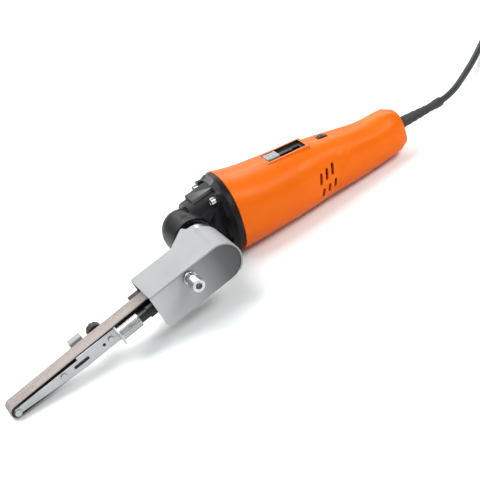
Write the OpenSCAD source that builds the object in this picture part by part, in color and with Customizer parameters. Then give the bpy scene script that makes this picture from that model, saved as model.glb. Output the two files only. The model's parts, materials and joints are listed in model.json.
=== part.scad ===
// Hand-held belt power file. A tapered motor housing carries a right-angle gear head.
// A sheet-metal belt guard is clamped round the head's collar, and a spring-loaded arm
// stretches a narrow abrasive belt between the drive wheel and a small tip roller.
// X runs from the tip to the cord, Y away from the belt side, Z up. Millimetres.
// The tool lies as it does on a bench: on its heel, its flange and the tip of its arm.

/* [Motor housing] */
// Radius of the housing at the gear head
housing_r = 40; // [38:1:43]
// Length of the housing
housing_len = 200; // [190:5:220]
// Wall of the moulded shells
housing_wall = 3; // [2.5:0.25:3.5]
// Length of the switch pocket
pocket_len = 42; // [38:1:44]
// Width of the switch pocket
pocket_w = 19; // [16:1:20]
// Vent slots in each row
vent_count = 3; // [2:1:4]

/* [Gear head] */
// Distance from the spindle axis to the housing
head_len = 47; // [46:1:52]
// Radius of the rounded nose over the bevel gear
nose_r = 22; // [21.5:0.5:24]
// Radius of the collar that the guard is clamped to
collar_r = 15.5; // [15:0.25:16]
// Radius of the spindle
spindle_r = 5; // [4:0.5:5.5]

/* [Belt drive] */
// Distance between the drive wheel and the tip roller
belt_centres = 228; // [220:1:245]
// Width of the belt
belt_w = 16; // [12:1:17]
// Thickness of the belt
belt_t = 1; // [0.8:0.1:1.2]
// Radius of the drive wheel
wheel_r = 9; // [8.5:0.25:10]
// Radius of the tip roller
roller_r = 5.5; // [5:0.25:6]
// Distance of the belt's middle from the motor axis
belt_y = 62; // [62:0.5:66]
// Travel of the sprung arm
arm_travel = 6; // [3:0.5:6]

/* [Belt guard] */
// Half height of the guard
guard_r = 20; // [19.5:0.5:22]
// Length of the guard ahead of the drive wheel
guard_len = 74; // [70:1:78]
// Thickness of the guard's sheet
sheet_t = 1.5; // [1:0.25:1.5]

/* [Cord] */
// Diameter of the mains cord
cord_d = 7; // [6:0.25:7]
// Layers in the stored coil
coil_layers = 4; // [2:2:4]
// Turns in each layer
coil_turns = 3; // [2:0.5:3.5]

/* [Hidden] */
$fn = 48;

// Fits shared by all pieces
fit_gap = 0.03;
run_gap = 0.05;
belt_gap = 0.4;
seat_gap = 0.2;
overrun = 1;

// Housing form: station along the length, then half width, top and bottom height
housing_shares = [
    [0.00, 1.00, 1.00, 1.00],
    [0.05, 1.00, 0.94, 0.975],
    [0.13, 0.99, 0.87, 0.935],
    [0.25, 0.95, 0.835, 0.872],
    [0.40, 0.87, 0.815, 0.795],
    [0.55, 0.76, 0.765, 0.70],
    [0.70, 0.66, 0.68, 0.65],
    [0.82, 0.595, 0.625, 0.56],
    [0.93, 0.555, 0.685, 0.44],
    [0.975, 0.52, 0.665, 0.40],
    [1.00, 0.44, 0.58, 0.32]
];
heel_share = 0.70;
housing_square = 2.35;
housing_sides = 48;
housing_stations = 20;
cavity_end_share = 0.95;
cavity_sides = 32;
cavity_stations = 12;

// Raised grip on both flanks: its curved front step, its upper crease and its soft lower edge
grip_rise = 0.8;
grip_share = 0.60;
grip_step_share = 0.008;
grip_bend_share = 0.045;
grip_bend_mid_share = 0.15;
grip_bend_span_share = 0.55;
grip_blend_share = 0.2;
grip_end_share = 0.05;
grip_crease_shares = [0.70, 0.62];
grip_low_shares = [-0.87, -0.60];

// Flange and neck of the gear head
flange_t = 6;
flange_edge = 5;
flange_step = 4;
neck_step = 8.5;
neck_tip_r = 24.5;
neck_tip_x = 8;
nose_far_y = -8;
dome_tip_y = 16;
dome_tip_r = 11;
pad_w = 17;
pad_mid_y = 1;
pad_rear_z = 33.5;
pad_front_z = 28.2;
pad_front_x = 14;
collar_face_y = -23;
collar_flange_t = 5;
nose_rim_t = 2;
nose_rim_edge = 0.6;
collar_screw_r = 1.25;
collar_head_r = 2;
collar_head_l = 2;
head_screw_in = 7.6;
head_screw_deg = 51.9;
head_ear_r = 6;
head_ear_x = 33;
head_screw_r = 2.3;
head_screw_head_r = 3.8;
head_screw_head_l = 5.5;
seal_t = 1;

// Bearings and the motor inside
shaft_r = 4;
journal_r = 5;
front_bearing_r = 13;
front_bearing_lead = 20;
bearing_w = 8;
race_shares = [0.3, 0.7];
race_depth = 0.5;
rear_bearing_r = 11;
rear_bearing_gap = 8;
pinion_teeth = 12;
pinion_bore_r = 2.5;
pinion_back_l = 2;
gear_teeth = 31;
gear_r = 18;
gear_back_l = 8.4;
tooth_face = 7;
tooth_root_share = 1.15;
tooth_slack_share = 0.84;
tooth_root_w_shares = [1.12, 1.5];
tooth_tip_w_shares = [0.42, 0.52];
tooth_sink = 0.5;
tooth_gap = 0.7;
bush_r = 7;
bush_y = 5;
bush_l = 7;
fan_clear = 7;
fan_lead = 6;
fan_t = 2;
fan_blade_h = 6;
fan_blade_t = 2;
fan_blades = 9;
fan_hub_r = 8;
stator_lead = 21;
stator_l = 40;
stator_clear = 8;
rotor_r = 17;
air_gap = 0.5;
coil_end_l = 6;
coil_end_step = 2.5;
winding_r = 14;
commutator_gap = 10;
commutator_l = 12;
commutator_r = 11;
brush_w = 7;
brush_l = 12;
holder_wall = 1.6;
rib_t = 3;
cradle_z = -10;

// Switch, speed dial and the rear of the housing
pocket_lead = 17;
pocket_rise = 0.3;
pocket_rim = 2.5;
pocket_depth = 3;
slider_l = 14;
slider_w = 13;
slider_rise = 1;
slider_travel = 8;
tongue_w = 5;
tongue_t = 3;
switch_lead = 1;
switch_l = 20;
switch_w = 18;
switch_h = 9;
dial_r = 8;
dial_w = 6;
dial_rise = 1.6;
dial_axle_r = 1.5;
dial_gap = 0.6;
ear_rise = 2.2;
control_gap = 4;
control_l = 26;
control_w = 24;
control_t = 6.5;
ear_half = 4.5;
vent_lead = 1;
vent_floor_gap = 2;
vent_pitch = 7.6;
vent_w = 3;
vent_rake = 16;
vent_upper_z = 4;
vent_lower_z = -11;
vent_upper_l = 12;
vent_lower_l = 9;
boss_r = 4.5;
boss_screw_r = 1.6;
boss_head_r = 3.2;
boss_step = 27;
boss_end = 11;
boss_z_shares = [-0.42, -0.32, -0.26];
clamp_end = 33;
clamp_l = 12;
clamp_h = 16;
clamp_w = 22;

// Cord sleeve, cord, coil and plug
sleeve_z = 6;
sleeve_r = 6.6;
sleeve_tip_r = 4.9;
sleeve_neck_r = 4.4;
cord_sides = 10;
sleeve_route = [[-17, 0, 1.8], [-8, 0, 0.8], [0, 0, 0], [10, 0.2, -0.5], [20, 0.6, -1.2],
                [30, 1.2, -2], [40, 2.2, -2.9], [49, 3.8, -3.9], [57, 6, -4.9]];
cord_route = [[57, 6, -4.9], [64, 8.6, -5.9], [71, 12.1, -7], [79, 17.1, -8.4], [88, 23.8, -10],
              [98, 32.1, -11.8], [110, 42.6, -14], [123, 54.2, -16.3], [137, 66.8, -18.4],
              [152, 80.2, -19.8], [168, 94.2, -20.3], [184, 107.4, -20.3], [200, 119.7, -20.3],
              [216, 131.4, -20.3]];
coil_entry = [230, 141.5];
coil_start_deg = 126;
coil_lift = 2;
coil_pitch = 0.6;
coil_inner_r = 31;
coil_rings = 24;
coil_sides = 6;
tail_l = 72;
tail_shares = [[0.16, 0.02], [0.30, 0.09], [0.46, 0.30], [0.62, 0.59], [0.80, 0.88], [1, 1]];
tie_t = 1.4;
tie_w = 9;
tie_gap = 0.5;
tie_side_gap = 1;
tie_deg = 312;
plug_r = 17;
plug_l = 34;
plug_neck_r = 7;
plug_root_r = 10;
plug_neck_l = 16;
plug_flat = 13;
pin_r = 2.4;
pin_l = 19;
pin_pitch = 19;

// Belt unit
clamp_ring_t = 2.6;
clamp_ring_l = 12;
clamp_lug = 8;
clamp_slot = 3;
clamp_screw_r = 2;
guard_near_gap = 17;
guard_far_gap = 8;
guard_hole_r = 12;
guard_rim = 0.8;
guard_corner_r = 6;
guard_wrap_deg = 60;
tab_front_l = 27;
tab_slope_l = 20;
tab_gap = 1;
tab_corner_r = 9;
guard_screw_u = 33;
guard_screw_v = 11.5;
guard_boss_r = 6.4;
guard_boss_l = 4;
guard_screw_r = 3;
guard_neck_l = 6;
guard_head_r = 6.2;
guard_head_l = 12;
guard_thread_l = 11;
socket_r = 3.5;
socket_l = 6;
carrier_u = 26;
carrier_l = 32;
carrier_low = -7;
carrier_top = 17;
carrier_gap = 3.5;
bridge_u = 44;
bridge_l = 12;
bridge_h = 4;
stub_l = 42;
stub_low = 1;
stub_top = 8;
rod_r = 4.5;
rod_v = 2.5;
rod_gap = 7;
rod_end_u = 97;
rod_collar_r = 5.8;
rod_collar_end_u = 81;
tube_r = 6.6;
tube_gap = 4;
tube_l = 22;
tube_wall = 1.4;
flute_count = 20;
flute_r = 0.5;
spring_wire_r = 0.6;
spring_turns = 5;
spring_rings = 8;
plate_t = 1.5;
plate_gap = 1;
slot_u = 149;
slot_l = 17;
slot_w = 3.4;
plate_half_h = 7;
plate_nose_r = 4.4;
plate_step_u = 158;
plate_front_h = 4.6;
plate_flange_l = 15;
bar_u = 64;
bar_end_gap = 8;
bar_low = 4;
bar_top = 4;
platen_u = 150;
platen_t = 1;
axle_r = 2.5;
axle_head_r = 3.4;
axle_head_l = 1.2;
arm_hole_u = 130;
arm_hole_r = 1.6;
arm_screw_us = [122, 176];
arm_screw_r = 2;
arm_screw_head_r = 3.2;
arm_screw_head_l = 1.4;
lug_lap = 9;
lug_l = 14;
lug_top = 10;
lug_low = -3;
lug_out = 8;
knob_u = 128;
knob_v = 2;
knob_r = 7.8;
knob_l = 8;
knob_gap = 0.4;
knob_stud_r = 2;
knob_grips = 10;
nut_r = 8;
nut_l = 5.5;
hub_gap = 0.4;

// Bevel pair: both pitch cones end at the crossing of the axes, and the teeth shrink toward it
pinion_pitch_r = gear_r * pinion_teeth / gear_teeth;
cone_l = norm([gear_r, pinion_pitch_r]);
cone_in = 1 - tooth_face / cone_l;
tooth_top = 2 * gear_r / gear_teeth;
tooth_root = tooth_top * tooth_root_share;
tooth_w = PI * gear_r / gear_teeth * tooth_slack_share;
function on_cone(axial, radial, h) = [
    radial + h * axial / cone_l,
    axial - h * radial / cone_l
];
pinion_tip = on_cone(gear_r, pinion_pitch_r, tooth_top);
pinion_root = on_cone(gear_r, pinion_pitch_r, -tooth_root);
gear_tip = on_cone(pinion_pitch_r, gear_r, tooth_top);
gear_root = on_cone(pinion_pitch_r, gear_r, -tooth_root);
pinion_x = pinion_root[1] * cone_in;
pinion_end_x = pinion_root[1] + pinion_back_l;
pinion_bay_x = pinion_tip[1] * cone_in - tooth_gap;
gear_tip_y = -gear_root[1] * cone_in;
gear_back_y = -gear_root[1] - gear_back_l;
gear_bay_y = tooth_gap - gear_tip[1] * cone_in;
gear_chamber_r = gear_tip[0] + tooth_gap;

// Places along the motor axis, each piece behind the one before it
front_bearing_x = head_len - front_bearing_lead;
fan_x = head_len + fan_lead;
stator_x = head_len + stator_lead;
commutator_x = stator_x + stator_l + commutator_gap;
rear_bearing_x = commutator_x + commutator_l + rear_bearing_gap;
control_x = rear_bearing_x + bearing_w + control_gap;
dial_x = control_x + control_l / 2;
vent_x = rear_bearing_x + vent_lead;
end_x = head_len + housing_len;
clamp_x = end_x - clamp_end;
boss_x = [control_x, dial_x + boss_step, end_x - boss_end];
switch_x = commutator_x - switch_lead;
pocket_x = switch_x - pocket_lead;
stator_r = housing_r - housing_wall - stator_clear;
coil_end_r = stator_r - coil_end_step;
fan_r = housing_r - housing_wall - fan_clear;
neck_r = housing_r - neck_step;
head_screw_y = (housing_r - head_screw_in) * cos(head_screw_deg);
head_screw_z = (housing_r - head_screw_in) * sin(head_screw_deg);

// How the tool lies: the line under flange and heel is level, the tip touches the bench
heel_x = head_len + housing_len * heel_share;
heel_r = housing_r * station(heel_share)[3];
bench_pitch = atan((housing_r - heel_r) / (heel_x - head_len));
spindle_h = housing_r * cos(bench_pitch) + head_len * sin(bench_pitch);
tip_r = roller_r + belt_gap + belt_t;
file_drop = asin((spindle_h - tip_r) / belt_centres);

// Planes across the belt unit, measured from the motor axis
belt_near_y = -belt_y - belt_w / 2;
belt_far_y = -belt_y + belt_w / 2;
guard_near_y = belt_near_y - guard_near_gap - sheet_t * 2;
guard_far_y = belt_far_y + guard_far_gap;
guard_plate_y = guard_near_y + guard_rim;
collar_end_y = guard_far_y + sheet_t;
tab_y = collar_flange_t - collar_face_y + tab_gap;
plate_near_y = belt_near_y - plate_gap;
plate_far_y = belt_far_y + plate_gap;
wheel_belt_r = wheel_r + belt_gap;
roller_belt_r = roller_r + belt_gap;
nut_face_y = belt_near_y - hub_gap;
guard_boss_y = guard_near_y - guard_boss_l;
rod_y = plate_near_y - plate_t - rod_gap;
tube_u = rod_collar_end_u + arm_travel + tube_gap;
plate_u = tube_u + tube_l;
lug_u = platen_u - lug_lap;
guard_head_y = guard_boss_y - guard_neck_l;
screw_end_y = guard_head_y - guard_head_l;

// Middle of the tool on the bench, which is the origin
tip_x = -belt_centres * cos(file_drop) - tip_r;
exit_point = bench([end_x, 0, sleeve_z]);
sleeve_way = sleeve_route[8] - sleeve_route[7];
sleeve_reach = sleeve_tip_r * norm([sleeve_way[1], sleeve_way[2]]) / norm(sleeve_way);
tool_end_x = exit_point[0] + sleeve_route[8][0] + sleeve_reach;
mid_x = (tip_x + tool_end_x) / 2;
mid_y = (screw_end_y + housing_r) / 2;

function bench(p) = [
    p[0] * cos(bench_pitch) + p[2] * sin(bench_pitch),
    p[1],
    spindle_h + p[2] * cos(bench_pitch) - p[0] * sin(bench_pitch)
];

module in_motor() {
    translate([-mid_x, -mid_y, spindle_h]) rotate([0, bench_pitch, 0]) children();
}

module in_file() {
    translate([-mid_x, -mid_y, spindle_h]) rotate([0, -file_drop, 0]) children();
}

// Cylinder along X, along Y, and a ring along Y
module bar_x(r, x0, x1) {
    translate([x0, 0, 0]) rotate([0, 90, 0]) cylinder(r = r, h = x1 - x0);
}

module bar_y(r, y0, y1) {
    translate([0, y0, 0]) rotate([-90, 0, 0]) cylinder(r = r, h = y1 - y0);
}

module box(x0, x1, y0, y1, z0, z1) {
    translate([x0, y0, z0]) cube([x1 - x0, y1 - y0, z1 - z0]);
}

// A flat outline drawn in X and Z, given its thickness along Y
module plate_y(y0, y1) {
    translate([0, y1, 0]) rotate([90, 0, 0]) linear_extrude(y1 - y0) children();
}

// Smooth curve through the housing's stations
function span(s, i = 0) =
    i >= len(housing_shares) - 2 || s <= housing_shares[i + 1][0] ? i : span(s, i + 1);
function slope(i) = let(a = max(i - 1, 0), b = min(i + 1, len(housing_shares) - 1))
    (housing_shares[b] - housing_shares[a]) / (housing_shares[b][0] - housing_shares[a][0]);
function station(s) = let(
    i = span(s),
    a = housing_shares[i],
    b = housing_shares[i + 1],
    w = b[0] - a[0],
    t = (s - a[0]) / w)
    a * (1 + 2 * t) * pow(1 - t, 2) + slope(i) * w * t * pow(1 - t, 2)
    + b * (3 - 2 * t) * pow(t, 2) + slope(i + 1) * w * (t - 1) * pow(t, 2);
function rounded(v) = sign(v) * pow(abs(v), 2 / housing_square);
function rounded_point(s, a, out) = let(c = station(s)) [
    head_len + housing_len * s,
    (housing_r * c[1] + out) * rounded(cos(a)),
    (housing_r * c[sin(a) < 0 ? 3 : 2] + out) * rounded(sin(a))
];
function clamped(v) = min(max(v, 0), 1);

// The grip's step bends with the height on the flank, so the stations near it bend as well
function grip_bend(v) = grip_bend_share
    * sin(90 * min(max((v - grip_bend_mid_share) / grip_bend_span_share, -1), 1));
function grip_pull(s) = clamped(1 - abs(s - grip_share) / grip_blend_share);
function grip_height(s, v) = grip_rise
    * (s > grip_share ? 1 : 0)
    * clamped((1 - s) / grip_end_share)
    * clamped((grip_crease_shares[0] - v) / (grip_crease_shares[0] - grip_crease_shares[1]))
    * clamped((v - grip_low_shares[0]) / (grip_low_shares[1] - grip_low_shares[0]));
function skin_ring(s) = [
    for (k = [0 : housing_sides - 1]) let(a = 360 * k / housing_sides)
        rounded_point(s + grip_bend(sin(a)) * grip_pull(s), a, grip_height(s, sin(a)))
];
function cavity_ring(s) = [
    for (k = [0 : cavity_sides - 1]) rounded_point(s, 360 * k / cavity_sides, -housing_wall)
];
skin_steps = [for (i = [0 : housing_stations]) i / housing_stations];
skin_stations = concat(
    [for (t = skin_steps) if (t < grip_share - grip_step_share) t],
    [grip_share, grip_share + grip_step_share],
    [for (t = skin_steps) if (t > grip_share + grip_step_share * 2) t]);

// Skin over a list of rings, closed at both ends
module loft(rings) {
    n = len(rings[0]);
    m = len(rings);
    polyhedron(
        points = [for (r = rings) for (p = r) p],
        faces = concat(
            [[for (k = [0 : n - 1]) k]],
            [for (j = [0 : m - 2]) for (k = [0 : n - 1])
                [j * n + k, (j + 1) * n + k, j * n + (k + 1) % n]],
            [for (j = [0 : m - 2]) for (k = [0 : n - 1])
                [j * n + (k + 1) % n, (j + 1) * n + k, (j + 1) * n + (k + 1) % n]],
            [[for (k = [n - 1 : -1 : 0]) (m - 1) * n + k]]));
}

// Tube swept along a route, with a radius for every point
function unit(v) = v / norm(v);
function heading(route, i) =
    unit(route[min(i + 1, len(route) - 1)] - route[max(i - 1, 0)]);
function hoop(route, radii, sides, i) = let(
    d = heading(route, i),
    side = unit(cross(d, [0, 0, 1])),
    up = cross(side, d)) [
    for (k = [0 : sides - 1]) let(a = 360 * k / sides)
        route[i] + radii[i] * (side * cos(a) + up * sin(a))
];
module tube(route, radii, sides) {
    loft([for (i = [0 : len(route) - 1]) hoop(route, radii, sides, i)]);
}
function same(r, route) = [for (p = route) r];
function moved(route, by) = [for (p = route) p + by];

// Height of the housing's top and side at a distance from the spindle
function along(x) = (x - head_len) / housing_len;
function top_z(x) = housing_r * station(along(x))[2];
function side_y(x) = housing_r * station(along(x))[1];

// HOUSING

pocket_top_z = top_z(pocket_x + pocket_len / 2) + pocket_rise;
pocket_floor_z = pocket_top_z - pocket_depth;

module housing_body() {
    loft([for (t = skin_stations) skin_ring(t)]);
}

module housing_cavity() {
    loft([for (i = [0 : cavity_stations])
        cavity_ring(-seat_gap / housing_len + cavity_end_share * i / cavity_stations)]);
}

module pocket_pad() {
    x1 = pocket_x + pocket_len;
    box(pocket_x - pocket_rim, x1 + pocket_rim, -pocket_w / 2 - pocket_rim,
        pocket_w / 2 + pocket_rim, pocket_floor_z - housing_wall / 2, pocket_top_z);
}

module pocket_cut() {
    x1 = pocket_x + pocket_len;
    box(pocket_x, x1, -pocket_w / 2, pocket_w / 2, pocket_floor_z, pocket_top_z + overrun);
    box(tongue_x - seat_gap, tongue_x + tongue_t + slider_travel + overrun,
        -tongue_w / 2 - seat_gap, tongue_w / 2 + seat_gap, pocket_floor_z - housing_wall * 2,
        pocket_top_z);
}

module dial_cut() {
    half = dial_w / 2 + dial_gap;
    translate([dial_x, 0, dial_z]) bar_y(dial_r + dial_gap, -half, half);
}

module vent_row(z, l) {
    for (i = [0 : vent_count - 1])
        translate([vent_x + i * vent_pitch, 0, z + i * vent_rise]) rotate([0, vent_rake, 0])
            plate_y(-housing_r - overrun, -vent_depth) union() {
                square([vent_w, l - vent_w], center = true);
                for (e = [-1, 1]) translate([0, e * (l - vent_w) / 2]) circle(d = vent_w);
            }
}

vent_depth = rear_bearing_r + vent_floor_gap;
vent_rise = vent_pitch * sin(vent_rake);
tongue_x = pocket_x + slider_l + slider_w;
dial_z = top_z(dial_x) + dial_rise - dial_r;

module housing_vents() {
    vent_row(vent_upper_z, vent_upper_l);
    vent_row(vent_lower_z, vent_lower_l);
    mirror([0, 1, 0]) vent_row(vent_upper_z, vent_upper_l);
    mirror([0, 1, 0]) vent_row(vent_lower_z, vent_lower_l);
}

module housing_ribs() {
    for (x = [stator_x + rib_t, stator_x + stator_l - rib_t * 2]) difference() {
        bar_x(housing_r, x, x + rib_t);
        bar_x(stator_r + seat_gap, x - overrun, x + rib_t + overrun);
    }
    difference() {
        bar_x(housing_r, rear_bearing_x, rear_bearing_x + bearing_w);
        bar_x(rear_bearing_r + fit_gap, rear_bearing_x - overrun, rear_bearing_x + bearing_w + overrun);
    }
    box(dial_x - rib_t, dial_x + rib_t, -housing_r, housing_r, -housing_r, cradle_z);
    box(clamp_x, clamp_x + clamp_l, -housing_r, housing_r, -housing_r, clamp_low_z);
    box(switch_x + rib_t, switch_x + rib_t * 2, -housing_r, housing_r, switch_z - rib_t, switch_z);
}

clamp_low_z = sleeve_z - clamp_h / 2;
switch_z = commutator_r + rib_t * 2;

module housing_bosses(r) {
    for (i = [0 : len(boss_x) - 1])
        translate([boss_x[i], 0, housing_r * boss_z_shares[i]]) bar_y(r, -housing_r, housing_r);
}

module housing_shell() {
    difference() {
        union() {
            difference() {
                union() {
                    housing_body();
                    pocket_pad();
                }
                difference() {
                    housing_cavity();
                    housing_ribs();
                    housing_bosses(boss_r);
                }
            }
        }
        pocket_cut();
        dial_cut();
        housing_vents();
        bar_x(rear_bearing_r + fit_gap, rear_bearing_x - overrun, rear_bearing_x + bearing_w + overrun);
        translate([0, 0, sleeve_z]) bar_x(sleeve_hole_r, end_x - housing_len / 2, end_x + overrun);
        for (i = [0 : len(boss_x) - 1])
            translate([boss_x[i], 0, housing_r * boss_z_shares[i]]) {
                bar_y(boss_screw_r + fit_gap, -boss_seat_y(i) / 2 - overrun, housing_r);
                bar_y(boss_head_r + fit_gap, boss_seat_y(i), housing_r);
            }
    }
}

sleeve_hole_r = sleeve_r + seat_gap * 2;
function boss_seat_y(i) = side_y(boss_x[i]) - housing_wall * 2;

module housing_near() {
    color("darkorange") in_motor() intersection() {
        housing_shell();
        box(head_len, end_x + overrun, -housing_r - overrun, 0, -housing_r * 2, housing_r * 2);
    }
}

module housing_far() {
    color("orange") in_motor() intersection() {
        housing_shell();
        box(head_len, end_x + overrun, 0, housing_r + overrun, -housing_r * 2, housing_r * 2);
    }
}

module housing_screws() {
    color("dimgray") in_motor() for (i = [0 : len(boss_x) - 1])
        translate([boss_x[i], 0, housing_r * boss_z_shares[i]]) {
            bar_y(boss_screw_r, -boss_seat_y(i) / 2, boss_seat_y(i));
            bar_y(boss_head_r, boss_seat_y(i), boss_seat_y(i) + boss_head_r);
        }
}

module switch_module() {
    color("dimgray") in_motor()
        box(switch_x, switch_x + switch_l, -switch_w / 2, switch_w / 2, switch_z, switch_z + switch_h);
}

module switch_slider() {
    top = pocket_top_z + slider_rise;
    z0 = pocket_floor_z + seat_gap;
    color("gainsboro") in_motor() {
        box(pocket_x + seat_gap, pocket_x + slider_l, -slider_w / 2, slider_w / 2, z0, top);
        box(pocket_x + slider_l, tongue_x + tongue_t, -tongue_w / 2, tongue_w / 2, z0, z0 + tongue_t / 2);
        box(tongue_x, tongue_x + tongue_t, -tongue_w / 2, tongue_w / 2,
            switch_z + switch_h + seat_gap, z0 + tongue_t / 2);
    }
}

module speed_control() {
    ear = dial_w / 2 + dial_gap;
    color("seagreen") in_motor() {
        box(dial_x - control_l / 2, dial_x + control_l / 2, -control_w / 2, control_w / 2,
            cradle_z, cradle_z + control_t);
        difference() {
            for (s = [0, 1]) mirror([0, s, 0])
                box(dial_x - ear_half, dial_x + ear_half, ear, ear + rib_t,
                    cradle_z, dial_z + ear_rise);
            translate([dial_x, 0, dial_z])
                bar_y(dial_axle_r + run_gap, -ear - rib_t - overrun, ear + rib_t + overrun);
        }
    }
}

module speed_dial() {
    ear = dial_w / 2 + dial_gap;
    color("black") in_motor() translate([dial_x, 0, dial_z]) {
        difference() {
            bar_y(dial_r, -dial_w / 2, dial_w / 2);
            for (k = [0 : 15]) rotate([0, k * 360 / 16, 0])
                translate([dial_r, 0, 0]) bar_y(dial_gap, -dial_w, dial_w);
        }
        bar_y(dial_axle_r, -ear - rib_t, ear + rib_t);
    }
}

module cord_clamp() {
    color("black") in_motor() difference() {
        box(clamp_x, clamp_x + clamp_l, -clamp_w / 2, clamp_w / 2, clamp_low_z, clamp_low_z + clamp_h);
        translate([0, 0, sleeve_z])
            bar_x(cord_d / 2, clamp_x - overrun, clamp_x + clamp_l + overrun);
    }
}

// GEAR HEAD

module gear_head() {
    color("dimgray") in_motor() difference() {
        union() {
            difference() {
                rotate([0, 90, 0]) rotate_extrude() polygon([
                    [0, neck_tip_x], [neck_tip_r, neck_tip_x], [neck_r, head_len - flange_t],
                    [housing_r - flange_step, head_len - flange_t - flange_edge],
                    [housing_r, head_len - flange_t], [housing_r, head_len - seal_t],
                    [0, head_len - seal_t]]);
                box(-housing_r, head_len - flange_t - flange_edge, -housing_r * 2, collar_face_y,
                    -housing_r, housing_r);
            }
            rotate([-90, 0, 0]) rotate_extrude() polygon(concat(
                [[0, collar_face_y], [collar_seat_r, collar_face_y],
                    [collar_seat_r, nose_rim_y + nose_rim_t], [nose_r - nose_rim_edge, nose_rim_y],
                    [nose_r, nose_rim_y + nose_rim_edge]],
                [for (a = [0 : 15 : 75]) [
                    dome_tip_r + (nose_r - dome_tip_r) * cos(a),
                    nose_far_y + (dome_tip_y - nose_far_y) * sin(a)]],
                [[dome_tip_r, dome_tip_y], [0, dome_tip_y]]));
            plate_y(pad_mid_y - pad_w / 2, pad_mid_y + pad_w / 2) polygon([
                [pad_front_x, 0], [pad_front_x, pad_front_z],
                [head_len - flange_t, pad_rear_z], [head_len - flange_t, 0]]);
            for (y = [-1, 1]) for (z = [-1, 1])
                translate([0, y * head_screw_y, z * head_screw_z])
                    bar_x(head_ear_r, head_ear_x, head_len - flange_t);
        }
        bar_y(gear_chamber_r, collar_face_y - overrun, gear_bay_y);
        bar_y(bush_r + fit_gap, gear_tip_y - overrun, bush_y + bush_l);
        bar_x(pinion_tip[0] + tooth_gap, pinion_bay_x, head_len);
        bar_x(front_bearing_r + fit_gap, front_bearing_x, head_len);
        bar_y(spindle_r + overrun, gear_tip_y, bush_y);
        for (y = [-1, 1]) for (z = [-1, 1])
            translate([0, y * head_screw_y, z * head_screw_z]) {
                bar_x(head_screw_r + fit_gap, 0, head_len + overrun);
                bar_x(head_screw_head_r + seat_gap, -nose_r, head_ear_x);
            }
    }
}

module head_screws() {
    color("silver") in_motor() for (y = [-1, 1]) for (z = [-1, 1])
        translate([0, y * head_screw_y, z * head_screw_z]) {
            bar_x(head_screw_r, head_ear_x, head_len - seal_t);
            difference() {
                bar_x(head_screw_head_r, head_ear_x - head_screw_head_l, head_ear_x);
                bar_x(head_screw_r, head_ear_x - head_screw_head_l - overrun,
                    head_ear_x - head_screw_head_l / 2);
            }
        }
}

module head_seal() {
    color("black") in_motor() difference() {
        bar_x(housing_r - seal_t, head_len - seal_t, head_len);
        bar_x(front_bearing_r + overrun, head_len - seal_t - overrun, head_len + overrun);
    }
}

module bearing_flange() {
    y0 = collar_face_y - collar_flange_t;
    color("gray") in_motor() difference() {
        union() {
            bar_y(collar_flange_r, y0, collar_face_y);
            bar_y(collar_r, collar_end_y, collar_face_y);
        }
        bar_y(front_bearing_r + fit_gap, y0 - bearing_w + collar_flange_t, collar_face_y + overrun);
        bar_y(spindle_r + overrun, collar_end_y - overrun, collar_face_y);
        for (a = [0 : 90 : 270]) rotate([0, a + 45, 0]) translate([collar_screw_at, 0, 0])
            {
                bar_y(collar_screw_r + fit_gap, y0 - overrun, collar_face_y + overrun);
                bar_y(collar_head_r + seat_gap, y0 - overrun, y0 + collar_head_l);
            }
    }
}

collar_flange_r = nose_r - nose_rim_t;
collar_seat_r = collar_flange_r + seat_gap;
nose_rim_y = collar_face_y - collar_flange_t;
collar_screw_at = (collar_r + collar_flange_r) / 2;

module collar_screws() {
    y0 = collar_face_y - collar_flange_t;
    color("silver") in_motor() for (a = [0 : 90 : 270]) rotate([0, a + 45, 0])
        translate([collar_screw_at, 0, 0]) {
            bar_y(collar_screw_r, y0 + collar_head_l, collar_face_y);
            bar_y(collar_head_r, y0 + seat_gap, y0 + collar_head_l);
        }
}

module ball_bearing(r_in, r_out, l) {
    difference() {
        cylinder(r = r_out, h = l);
        translate([0, 0, -overrun]) cylinder(r = r_in, h = l + overrun * 2);
        for (z = [-overrun, l - race_depth]) translate([0, 0, z]) difference() {
            cylinder(r = r_in + (r_out - r_in) * race_shares[1], h = overrun + race_depth);
            cylinder(r = r_in + (r_out - r_in) * race_shares[0], h = overrun + race_depth);
        }
    }
}

module front_bearing() {
    color("silver") in_motor() translate([front_bearing_x, 0, 0]) rotate([0, 90, 0])
        ball_bearing(journal_r + run_gap, front_bearing_r, bearing_w);
}

module rear_bearing() {
    color("silver") in_motor() translate([rear_bearing_x, 0, 0]) rotate([0, 90, 0])
        ball_bearing(shaft_r + run_gap, rear_bearing_r, bearing_w);
}

module spindle_bearing() {
    color("silver") in_motor() translate([0, collar_face_y, 0]) rotate([90, 0, 0])
        ball_bearing(spindle_r + run_gap, front_bearing_r, bearing_w);
}

module spindle_bush() {
    color("peru") in_motor() difference() {
        bar_y(bush_r, bush_y, bush_y + bush_l);
        bar_y(shaft_r + run_gap, bush_y - overrun, bush_y + bush_l + overrun);
    }
}

// MOTOR

module stator() {
    color("slategray") in_motor() difference() {
        bar_x(stator_r, stator_x, stator_x + stator_l);
        bar_x(rotor_r + air_gap, stator_x - overrun, stator_x + stator_l + overrun);
    }
}

module field_coils() {
    color("chocolate") in_motor() for (x = [stator_x - coil_end_l, stator_x + stator_l])
        difference() {
            bar_x(coil_end_r, x, x + coil_end_l);
            bar_x(rotor_r + air_gap, x - overrun, x + coil_end_l + overrun);
        }
}

module motor_shaft() {
    color("lightgray") in_motor() {
        bar_x(pinion_bore_r, pinion_x, pinion_end_x);
        bar_x(journal_r, pinion_end_x, fan_x);
        bar_x(shaft_r, fan_x, rear_bearing_x + bearing_w);
    }
}

module rotor_core() {
    color("slategray") in_motor() difference() {
        bar_x(rotor_r, stator_x, stator_x + stator_l);
        bar_x(shaft_r + fit_gap, stator_x - overrun, stator_x + stator_l + overrun);
    }
}

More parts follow.
